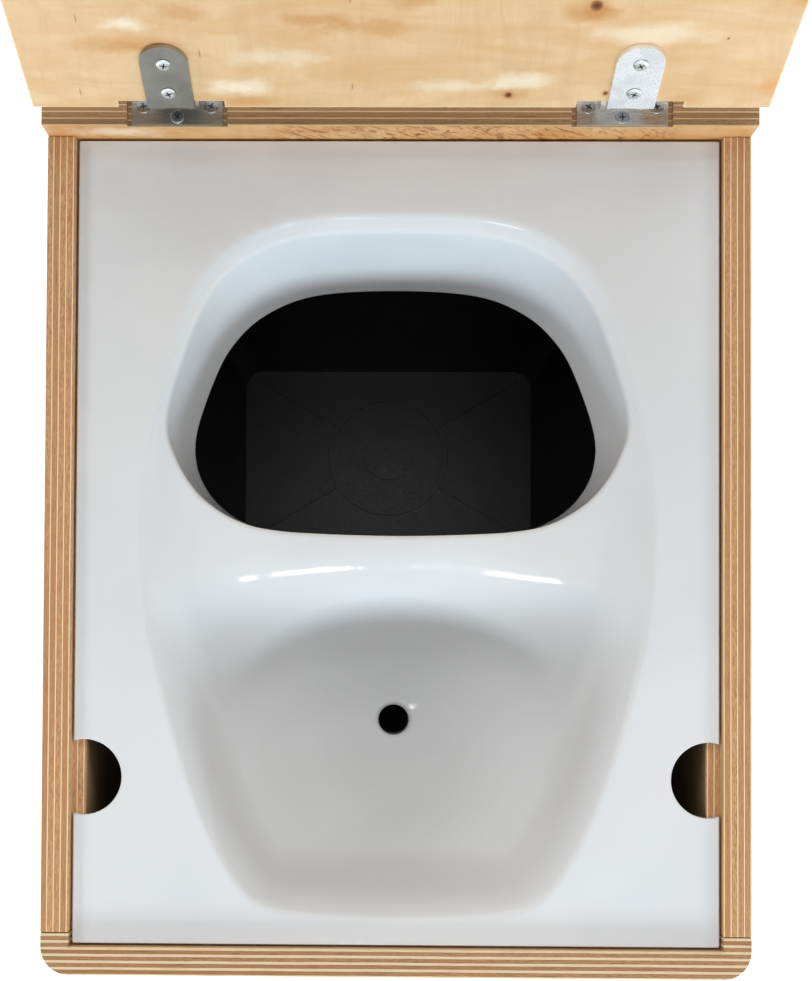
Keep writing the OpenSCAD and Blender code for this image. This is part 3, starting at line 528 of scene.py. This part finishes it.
def screws(node, axis, rise, turn, metal):
    """Domed screw heads with a cross recess, on shanks, at the places of the CAD's screws; the recess and a
    band round the rim carry painted shade.

    rise is the dome's height in mm, and turn the first recess's angle in degrees.
    """
    source, bm = tidy_mesh(node), bmesh.new()
    axis = Vector(axis)
    u = axis.orthogonal().normalized()
    w = axis.cross(u)
    dark = set()
    for k, group in enumerate(islands(source)):
        heights = [v.co.dot(axis) for v in group]
        top = [v.co for v in group if v.co.dot(axis) > max(heights) - 0.05 * MM]
        middle = sum(top, Vector()) / len(top)
        length = (max(heights) - min(heights)) / MM
        start = math.radians(turn + NEXT_TURN * k)

        def ring(height, radii):
            out = []
            for a, r in zip(SCREW_ANGLES, radii):
                way = u * math.cos(start + a) + w * math.sin(start + a)
                out.append(bm.verts.new(middle + (axis * height + way * r) * MM))
            return out

        shank_and_dome = ((0.9, -length), (1.5, 1.0 - length), (1.5, -1.5), (2.8, -0.2), (2.95, 0.0),
            (2.92, 0.35 * rise), (2.7, 0.66 * rise), (2.3, 0.86 * rise), (1.8, 0.97 * rise))
        rings = [ring(h, [r] * len(SCREW_ANGLES)) for r, h in shank_and_dome]
        rings += [ring(h, [r * c for c in CROSS]) for r, h in ((1.0, rise), (0.8, rise - RECESS_DEEP))]
        bm.faces.new(rings[0][::-1])
        for number, (a, b) in enumerate(zip(rings, rings[1:])):
            faces = band(bm, a, b)
            if number in SHADE_PAINT_BANDS:
                dark.update(faces)
        # the floor of the recess is painted shade too
        dark.add(bm.faces.new(rings[-1]))
    source.free()
    bm.normal_update()
    return as_piece(bm, node + "_heads", [node], [metal, recess], lambda f: int(f in dark), 30)


def broad(direction):
    """Material 0 on a board's two broad faces, and 1 on its edges."""
    d = Vector(direction)
    return lambda f: 0 if abs(f.normal.dot(d)) > BROAD else 1


eased("front_board", [board_y, front_edge], broad(Y))
eased("rear_board", [rear_face, rear_edge], broad(Y), width=0.5)
eased("left_board", [board_x, side_edge_l], broad(X))
eased("right_board", [board_x, side_edge_r], broad(X))
eased("base_board", [base_face, base_edge], broad(Z))
eased("lid_board", [lid_face, lid_edge], broad(LID_OUT), width=0.8)
for side, leaf, strap, turn in (("left", leaf_painted_shade, strap_painted_shade, 20), ("right", leaf_painted_light, strap_painted_glare, 65)):
    eased(side + "_hinge_leaf", [leaf], width=0.35, shortest=0.7)
    eased(side + "_hinge_strap", [strap], width=0.35, shortest=0.7, angle=60)
    screws(side + "_leaf_screws", Z, 0.35, turn, zinc_shade_paint)
    screws(side + "_strap_screws", (0, -LID_OUT[1], -LID_OUT[2]), 0.8, turn + 9, zinc_plate)
    eased(side + "_hinge_pin", [pin_steel], width=0.2, shortest=0.1)
eased("base_screws", [zinc_plate], width=0)
eased("foot_screws", [zinc_plate], width=0)
for where in ("front_left", "front_right", "rear_left", "rear_right"):
    eased("foot_" + where, [rubber], width=0.8, shortest=0.5)
eased("front_dowels", [beech], width=0)
eased("rear_dowels", [beech], width=0)
eased("bucket", [bucket_black], width=0.4, shortest=2.0)
eased("bucket_bail", [bail_zinc], width=0)
eased("bail_grip", [grip_black], width=0.5, shortest=0.3)
eased("urine_canister", [canister_skin], width=0.5, shortest=1.5, sharp=40)

# ---- Separator insert, from the same curves and depths as the CAD
BOWL_W, BOWL_L, BOWL_Y0, PLATE_TOP = 223.0, 300.0, -164.0, 319.0
PLATE_T, SHELL_T, RIM_FALL, LIP_DROP, BASIN_DEPTH, CHUTE_DEPTH = 3.5, 3.0, 2.0, 15.0, 59.0, 52.0
RIM = [[0, 100], [39.5, 99.2], [63, 95.5], [77.5, 89.6], [87, 80.6], [94, 69.6], [99.3, 58], [98.4, 45],
    [90.3, 31.2], [80, 18.9], [68, 8.9], [54, 2.4], [34, 0.6], [0, 0]]
LIP = [[0, 98.2], [38.1, 97.3], [60.1, 93.9], [73.8, 88.3], [83, 79.9], [89, 71], [85.2, 65.2], [77.6, 60.8],
    [68.2, 58], [57.4, 56.2], [44.8, 55.4], [31.4, 55.1], [17, 54.9], [0, 54.8]]
MOUTH = [[0, 93.5], [33.2, 92.7], [53.8, 89.7], [67.3, 85], [75.3, 79.3], [82.1, 71.5], [82.1, 66.5],
    [77.6, 62.5], [69.5, 59.3], [58.3, 57], [44.8, 55.8], [31.4, 55.2], [17, 55], [0, 55]]
DRAIN_Y, DRAIN_R, SPOUT_WALL, SPOUT_L = -81.8, 7.0, 3.0, 18.0
PAN_Y, PAN_W, PAN_REAR, PAN_FRONT, SIDE_WALL = -86.0, 86.0, 64.0, 84.0, 22.0
CREST_Y, CREST_BEND, ROLL_FALL, ROLL_L = -2.0, 0.0016, 21.0, 100.0
RIM_TURN, CREST_TURN, PAN_TURN = 0.14, 0.2, 0.15  # shares of the walls' width that are rounded over
ROLL, RIM_SOFT, REAR_SOFT = 6.0, 0.9, 1.0
NOTCH_X, NOTCH_Y, NOTCH_R = 132.6, -104.0, 16.0
INSERT_NODES = ["insert_plate", "insert_basin", "insert_ridge", "insert_chute", "drain_spout"]

# sizes that are in the scene alone: the ridge's faint wave, rounded edges, the flare into the drain
WAVE_H, WAVE_L, WAVE_PHASE, WAVE_Y, WAVE_SPREAD = 0.3, 14.3, 5.83, -18, 14
PLATE_R, UNDER_EDGE, FLARE, GAP_R = 0.8, 0.8, 2.6, 14.5
PLATE_EDGE = ((0.5, 0.0), (0.15, 0.15), (0.0, 0.5), (0.0, PLATE_T - 0.3), (0.3, PLATE_T))  # inset and depth

# how finely the bowl is cut: points per stretch of a curve, fine points over basin and chute wall, every
# n-th of them for the underside, and the points kept over the rim, the basin, the lip and the chute's wall
CURVE_STEPS, BASIN_FINE, DROP_FINE, BASIN_STRIDE, DROP_STRIDE = 8, 201, 61, 4, 10
STRETCH_POINTS = (8, 72, 14, 12)
PATH_STEP, PAST_RIM, BEFORE_LIP, PAST_LIP = 0.5, 2, 3, 8
LIP_PULL, THICKEN_L = 5, 4  # how late the underside turns to the lip, and how soon it has its full thickness
DRAIN_POINTS, LOOKS_UP = 48, 0.3
ABOVE_ALL, BELOW_ALL = 0.4, 0.1  # heights in m, clear of the insert


def closed_curve(half):
    """A smooth curve through the points of one half and of its mirror image, clockwise from the rear, in mm.

    The points are percentages of half the bowl's width and of its length.
    """
    pts = np.array(half + [[-x, y] for x, y in half[-2:0:-1]], float)
    out = []
    for k in range(len(pts)):
        p0, p1, p2, p3 = (pts[(k + d) % len(pts)] for d in (-1, 0, 1, 2))
        for j in range(CURVE_STEPS):
            t = j / CURVE_STEPS
            q = 0.5 * (2 * p1 + (p2 - p0) * t + (2 * p0 - 5 * p1 + 4 * p2 - p3) * t * t
                + (3 * p1 - p0 - 3 * p2 + p3) * t ** 3)
            out.append((q[0] / 100 * BOWL_W / 2, BOWL_Y0 + q[1] / 100 * BOWL_L))
    return np.array(out)


def outward(curve):
    """Unit normals of a closed clockwise curve, pointing out of it."""
    d = np.roll(curve, -1, 0) - np.roll(curve, 1, 0)
    d /= np.linalg.norm(d, axis=1)[:, None]
    return np.stack([-d[:, 1], d[:, 0]], 1)


def run_of(path):
    """The path's length up to each of its points."""
    return np.concatenate([[0], np.linalg.norm(np.diff(path, axis=0), axis=1).cumsum()])


def points_at(path, run, at):
    """The points of the path at the given lengths along it."""
    return np.column_stack([np.interp(at, run, path[:, k]) for k in range(3)])


def softened(path, spread):
    """The path with its corners rounded, as evenly spaced points; its ends stay where they are."""
    run = run_of(path)
    count = max(int(run[-1] / PATH_STEP), 8)
    even = points_at(path, run, np.linspace(0, run[-1], count))
    reach = int(3 * spread / PATH_STEP) + 1
    padded = np.vstack([2 * even[0] - even[reach:0:-1], even, 2 * even[-1] - even[-2:-reach - 2:-1]])
    weight = np.exp(-0.5 * (np.arange(-reach, reach + 1) * PATH_STEP / spread) ** 2)
    weight /= weight.sum()
    return np.column_stack([np.convolve(padded[:, k], weight, "valid") for k in range(3)])


def wall(t, top):
    """Runs from 0 at t = 0 to 1 at t = 1: rounded over up to t = top, hollow from there on."""
    t = np.clip(t, 0, 1)
    return np.where(t < top, t * t / top, 1 - (1 - t) ** 2 / (1 - top))


def gap_to(curve, points):
    """Distance from each point to a closed curve."""
    a, b = curve, np.roll(curve, -1, 0)
    d = b - a
    t = ((points[:, None] - a) * d).sum(-1) / (d * d).sum(-1)
    near = a + d * np.clip(t, 0, 1)[..., None]
    return np.linalg.norm(points[:, None] - near, axis=-1).min(1)


def bowl_height(xy, crest, width, rim):
    """Height of the basin: a steep wall inside the rim, a crest that rolls forward, and a round pan."""
    x, y = xy[:, 0], xy[:, 1]
    side = wall(gap_to(rim, xy) / width, RIM_TURN)
    base = PLATE_TOP - crest + ROLL_FALL * wall((CREST_Y - CREST_BEND * x * x - y) / ROLL_L, CREST_TURN)
    base = base + WAVE_H * np.sin(x / WAVE_L + WAVE_PHASE) * np.exp(-((y - WAVE_Y) / WAVE_SPREAD) ** 2)
    pan = wall(1 - np.hypot(x / PAN_W, (y - PAN_Y) / np.where(y > PAN_Y, PAN_REAR, PAN_FRONT)), PAN_TURN)
    return PLATE_TOP - (base + (BASIN_DEPTH - base) * pan) * side


def sections():
    """Points of each section of the bowl: from the plate over basin and lip to the mouth, and back below."""
    rim, lip, mouth = (closed_curve(c) for c in (RIM, LIP, MOUTH))
    out_rim, out_lip = outward(rim), outward(lip)
    span = np.linalg.norm(lip - rim, axis=1)
    share = span / span[len(rim) // 2]
    lip_z = PLATE_TOP - RIM_FALL - (LIP_DROP - RIM_FALL) * (1 - (1 - share) ** 2)
    mouth_z = PLATE_TOP - CHUTE_DEPTH
    s, w = np.linspace(0, 1, BASIN_FINE), np.linspace(0, 1, DROP_FINE)
    plan = rim[:, None] + (lip - rim)[:, None] * s[:, None]
    width = np.minimum(SIDE_WALL, gap_to(rim, lip))
    z = bowl_height(plan.reshape(-1, 2), np.repeat(lip_z, len(s)), np.repeat(width, len(s)), rim)
    basins = np.dstack([plan, z.reshape(plan.shape[:2])])
    normal = np.cross(np.roll(basins, -1, 0) - np.roll(basins, 1, 0), np.gradient(basins, axis=1))
    normal /= np.linalg.norm(normal, axis=2)[..., None]
    normal *= np.sign(normal[..., 2:])
    rows, unders = [], []
    for i, basin in enumerate(basins):
        drop = np.column_stack([lip[i] + (mouth[i] - lip[i]) * w[:, None], lip_z[i] + (mouth_z - lip_z[i]) * w])
        plate = np.array([*(rim[i] + out_rim[i] * ROLL), PLATE_TOP])
        path = softened(np.vstack([plate, basin, drop[1:]]), RIM_SOFT + REAR_SOFT * (1 - share[i]) ** 4)
        path[:, 2] = np.minimum(path[:, 2], PLATE_TOP)
        run = run_of(path)
        lip_at = run[-1] - np.linalg.norm(drop[-1] - drop[0])
        stops = [0, ROLL + PAST_RIM, lip_at - BEFORE_LIP, lip_at + PAST_LIP, run[-1]]
        stretches = [np.linspace(a, b, n)[:-1] for a, b, n in zip(stops, stops[1:], STRETCH_POINTS)]
        rows.append(points_at(path, run, np.concatenate([*stretches, run[-1:]])))

        # underside: from the chute's foot up its outer wall and back under the basin
        outer = np.column_stack([drop[:, :2] + out_lip[i] * SHELL_T, drop[:, 2] - SHELL_T * (1 - w)])
        near_lip = s ** (1 + LIP_PULL * share[i])
        fade = np.clip(s * span[i] / THICKEN_L, 0, 1) * (1 - near_lip)
        shift = -normal[i, :, :2] * (SHELL_T * fade)[:, None] + out_lip[i] * (SHELL_T * near_lip)[:, None]
        down = SHELL_T * (1 - fade * (1 - normal[i, :, 2]))
        low = np.column_stack([basin[:, :2] + shift, basin[:, 2] - down])
        edge = np.array([*(rim[i] + out_rim[i] * UNDER_EDGE), PLATE_TOP - PLATE_T])
        unders.append(np.vstack([outer[::-DROP_STRIDE], low[-1 - BASIN_STRIDE:0:-BASIN_STRIDE], edge]))
    return np.array(rows), np.array(unders)


def arc(x, y, r, start, end, steps):
    """Points along part of a circle, between two angles in radians."""
    return [(x + r * math.cos(a), y + r * math.sin(a)) for a in np.linspace(start, end, steps + 1)]


def plate_outline():
    """The plate's outline, clockwise, with round corners and a finger notch in each side."""
    lo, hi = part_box("insert_plate")
    x, y0, y1 = hi.x / MM - PLATE_R, lo.y / MM + PLATE_R, hi.y / MM - PLATE_R
    opening = math.acos((hi.x / MM - NOTCH_X) / NOTCH_R)
    half = arc(x, y1, PLATE_R, math.pi / 2, 0, 8)
    half += arc(NOTCH_X, NOTCH_Y, NOTCH_R, opening, 2 * math.pi - opening, 32)
    half += arc(x, y0, PLATE_R, 0, -math.pi / 2, 8)
    return half + [(-x, y) for x, y in half[::-1]]


def open_disc(bm, y, radius, upward):
    """Opens a round gap in the faces that look up, or down, and returns its edge."""
    gone = [f for f in bm.faces if (f.normal.z > LOOKS_UP) == upward and abs(f.normal.z) > LOOKS_UP
        and math.hypot(f.calc_center_median().x, f.calc_center_median().y - y) < radius]
    edges = dict.fromkeys(e for f in gone for e in f.edges if any(g not in gone for g in e.link_faces))
    bmesh.ops.delete(bm, geom=gone, context="FACES")
    return [e for e in edges if e.is_valid]


def loop_edges(bm, ring):
    """The edges of a closed ring of vertices; those that are missing are made."""
    return [bm.edges.get(pair) or bm.edges.new(pair) for pair in zip(ring, ring[1:] + ring[:1])]


def fill(bm, edges):
    """Closes the gap between two closed rings of edges by triangles."""
    bmesh.ops.triangle_fill(bm, use_beauty=True, use_dissolve=False, edges=edges)


def add_drain(bm):
    """Drain hole, flared where it opens into the basin, and a short spout below."""
    tree = BVHTree.FromBMesh(bm)
    turn = [(math.cos(a), math.sin(a)) for a in circle(DRAIN_POINTS)]
    foot = (PLATE_TOP - BASIN_DEPTH - SHELL_T - SPOUT_L) * MM
    wide, outer = DRAIN_R + FLARE, DRAIN_R + SPOUT_WALL

    def spot(direction, r, z):
        return Vector((direction[0] * r * MM, (DRAIN_Y + direction[1] * r) * MM, z))

    def height(direction, r, upward):
        """Height of the basin's upper face, or of its lower one."""
        from_z, way = (ABOVE_ALL, -1) if upward else (BELOW_ALL, 1)
        return tree.ray_cast(spot(direction, r, from_z), Vector((0, 0, way)))[0].z

    # down the flare, then inside, under and outside the spout
    rings = []
    for a in np.linspace(math.pi / 2, 0, 9):
        r, fall = DRAIN_R + FLARE * (1 - math.cos(a)), FLARE * (1 - math.sin(a)) * MM
        rings.append([spot(d, r, height(d, wide, True) - fall) for d in turn])
    for r, up in ((DRAIN_R, 0.4), (DRAIN_R + 0.4, 0), (outer - 0.6, 0), (outer, 0.6)):
        rings.append([spot(d, r, foot + up * MM) for d in turn])
    rings.append([spot(d, outer, height(d, outer, False)) for d in turn])
    gaps = [open_disc(bm, DRAIN_Y * MM, GAP_R * MM, upward) for upward in (True, False)]
    rings = [[bm.verts.new(p) for p in ring] for ring in rings]
    for a, b in zip(rings, rings[1:]):
        band(bm, a, b)
    for gap, ring in zip(gaps, (rings[0], rings[-1])):
        fill(bm, gap + loop_edges(bm, ring))


def add_plate(bm, rim_top, rim_under):
    """Flat plate between the bowl's rim and the outline, with a rounded edge."""
    outline = np.array(plate_outline())
    loops = [[bm.verts.new(((p[0] - m[0] * inset) * MM, (p[1] - m[1] * inset) * MM, (PLATE_TOP - down) * MM))
        for p, m in zip(outline, outward(outline))] for inset, down in PLATE_EDGE]
    for a, b in zip(loops, loops[1:]):
        band(bm, a, b)
    for ring, inner in ((loops[0], rim_top), (loops[-1], rim_under)):
        fill(bm, loop_edges(bm, ring) + loop_edges(bm, inner))


def build_insert():
    """One skin over the insert's five CAD nodes."""
    bm = bmesh.new()
    grid = [[bm.verts.new(p * MM) for p in row] for row in np.concatenate(sections(), axis=1)]
    for a, b in zip(grid, grid[1:] + grid[:1]):
        for k in range(len(a) - 1):
            bm.faces.new((a[k], a[k + 1], b[k + 1], b[k]))
    bm.normal_update()
    add_drain(bm)
    add_plate(bm, [row[0] for row in grid], [row[-1] for row in grid])
    bmesh.ops.recalc_face_normals(bm, faces=bm.faces)
    return as_piece(bm, "separator_insert", INSERT_NODES, [white_plastic], sharp=48)


build_insert()


# ---- Floor, background and light
# mm from the middle between which the lamps' light fades, and the floor's own glow at each of them
FADE, GLOW = (600, 1600), (0.42, 1.0)
FLOOR_HALF_M, ROOM_LIGHT, MIDDLE = 5, 0.3, (0, 0, 0.3)

# name, place, point it shines at, width, length, watts, colour, and whether it shows in reflections
LAMPS = (
    ("overhead", (0.3, 0.1, 1.9), MIDDLE, 1.3, 1.3, 2.5, (1.0, 0.99, 0.98), True),
    ("rear", (0.15, 1.3, 1.85), MIDDLE, 3.0, 0.6, 22.5, (0.96, 0.985, 1.0), False),
    ("left", (-1.7, 0.1, 1.0), MIDDLE, 1.4, 0.4, 12, (1, 1, 1), False),
    ("right", (1.7, -0.3, 1.0), MIDDLE, 1.4, 0.4, 7, (1, 1, 1), False),
    ("front_low", (0.2, -1.35, 0.58), (0, 0, 0.31), 1.8, 0.16, 20.5, (0.74, 0.9, 1.0), False),
    ("pane_left", (-0.12, -0.6, 1.68), MIDDLE, 0.03, 0.1, 0.6, (0.95, 0.98, 1.0), True),
    ("pane_middle", (-0.035, -0.6, 1.68), MIDDLE, 0.022, 0.1, 0.42, (0.95, 0.98, 1.0), True),
    ("pane_right", (0.15, -0.6, 1.68), MIDDLE, 0.02, 0.1, 0.42, (0.95, 0.98, 1.0), True))


def seen(tree):
    """1 for what the camera sees, also mirrored or through the canister, and 0 for rays that carry light."""
    ray = tree.nodes.new("ShaderNodeLightPath")
    value = ray.outputs["Is Camera Ray"]
    for kind in ("Is Glossy Ray", "Is Transmission Ray"):
        either = tree.nodes.new("ShaderNodeMath")
        either.operation = "MAXIMUM"
        tree.links.new(value, either.inputs[0])
        tree.links.new(ray.outputs[kind], either.inputs[1])
        value = either.outputs[0]
    return value


def stage_material():
    """Pale floor that shows white to the camera but keeps the object's shadow."""
    m = Shader("floor_white", Base_Color=lin(236, 237, 238), Roughness=0.9)
    link = m.tree.links.new
    glow = m.new("ShaderNodeEmission")
    glow.inputs["Color"].default_value = (1, 1, 1, 1)
    m.feed(glow.inputs["Strength"], m.step(m.length(m.along(X), m.along(Y)), *FADE, *GLOW))
    both, pick = m.new("ShaderNodeAddShader"), m.new("ShaderNodeMixShader")
    link(m.bsdf.outputs[0], both.inputs[0])
    link(glow.outputs[0], both.inputs[1])
    link(seen(m.tree), pick.inputs[0])
    link(m.bsdf.outputs[0], pick.inputs[1])
    link(both.outputs[0], pick.inputs[2])
    link(pick.outputs[0], m.out.inputs[0])
    return m.mat


def build_floor():
    """A wide floor at the height of the feet."""
    bm = bmesh.new()
    bmesh.ops.create_grid(bm, x_segments=8, y_segments=8, size=FLOOR_HALF_M)
    me = bpy.data.meshes.new("floor")
    bm.to_mesh(me)
    bm.free()
    me.materials.append(stage_material())
    floor = bpy.data.objects.new("floor", me)
    floor.location = (0, 0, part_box("foot_front_left")[0].z)
    bpy.context.scene.collection.objects.link(floor)


def build_world():
    """A dim room that lights the object, and plain white where it is seen."""
    world = bpy.data.worlds.new("studio")
    bpy.context.scene.world = world
    world.use_nodes = True
    tree = world.node_tree
    tree.nodes.clear()
    out, pick = tree.nodes.new("ShaderNodeOutputWorld"), tree.nodes.new("ShaderNodeMixShader")
    tree.links.new(seen(tree), pick.inputs[0])
    for number, rgba, strength in ((1, (0.98, 0.99, 1.0, 1), ROOM_LIGHT), (2, (1, 1, 1, 1), 1.0)):
        back = tree.nodes.new("ShaderNodeBackground")
        back.inputs["Color"].default_value = rgba
        back.inputs["Strength"].default_value = strength
        tree.links.new(back.outputs[0], pick.inputs[number])
    tree.links.new(pick.outputs[0], out.inputs[0])


def area(name, place, target, width, length, watts, rgb, mirrored):
    """A rectangular lamp that shines from its place at a target."""
    data = bpy.data.lights.new(name, "AREA")
    data.shape = "RECTANGLE"
    data.size, data.size_y, data.energy, data.color = width, length, watts, rgb
    obj = bpy.data.objects.new(name, data)
    obj.location = place
    obj.rotation_euler = (Vector(target) - Vector(place)).to_track_quat("-Z", "Y").to_euler()
    obj.visible_glossy = mirrored
    bpy.context.scene.collection.objects.link(obj)


build_floor()
build_world()
for lamp in LAMPS:
    area(*lamp)
